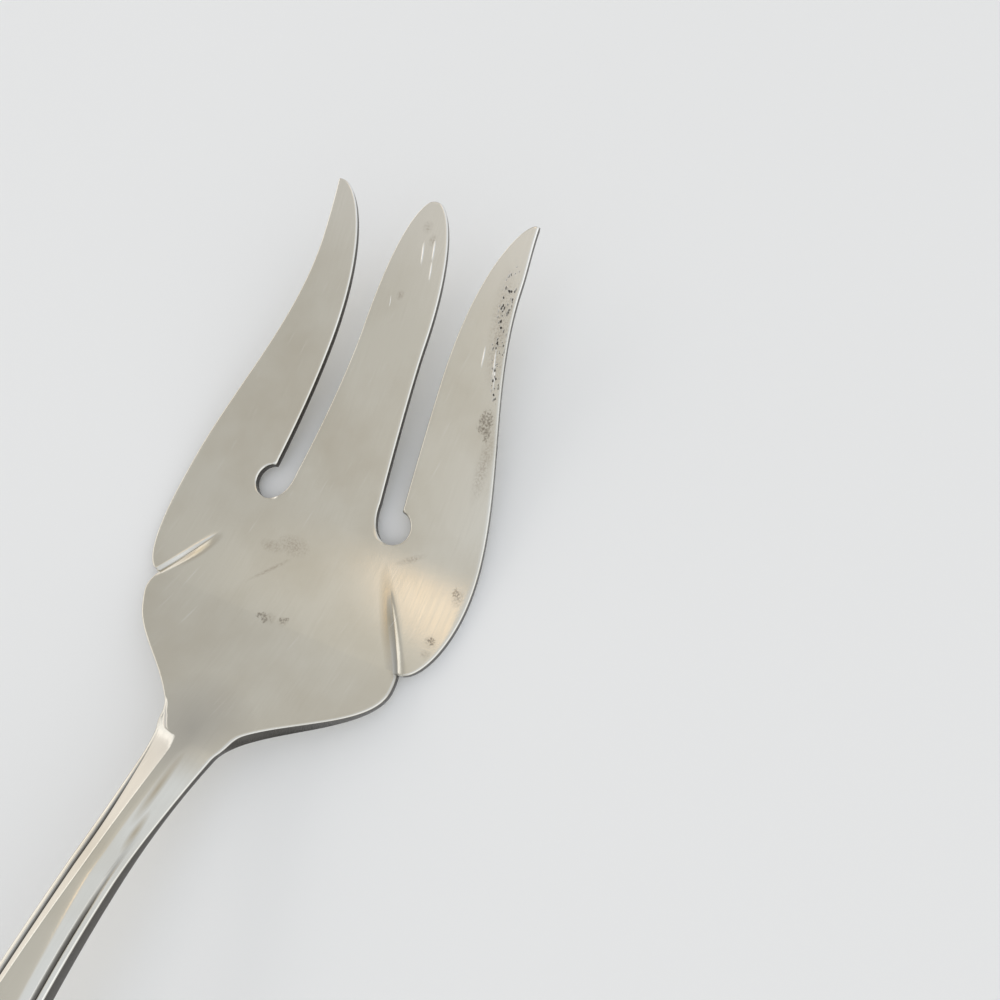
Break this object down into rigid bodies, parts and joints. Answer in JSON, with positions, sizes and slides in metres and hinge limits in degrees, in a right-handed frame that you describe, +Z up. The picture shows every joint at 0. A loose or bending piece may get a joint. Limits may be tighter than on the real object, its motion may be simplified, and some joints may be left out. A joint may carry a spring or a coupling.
{
  "type": "cold meat serving fork",
  "caption": "Broad serving fork struck in one piece, with sickle-tipped tines, keyhole slots, pleated shoulders, a bevelled stem and an arched threaded handle.",
  "frame": {"origin": "on the surface that the fork lies on, below the middle of its length and width", "axes": "+Y along the fork towards the tine tips, +Z up out of the hollow side of the head, +X to the right of a user who holds the handle"},
  "size_m": [0.0478, 0.22, 0.0164],
  "materials": {
    "silver_plate": "silver plate over nickel silver, satin from use, with fine lengthwise scratches and a few dark pits"
  },
  "bodies": {
    "root": {"fork": "silver_plate"}
  },
  "joints": []
}
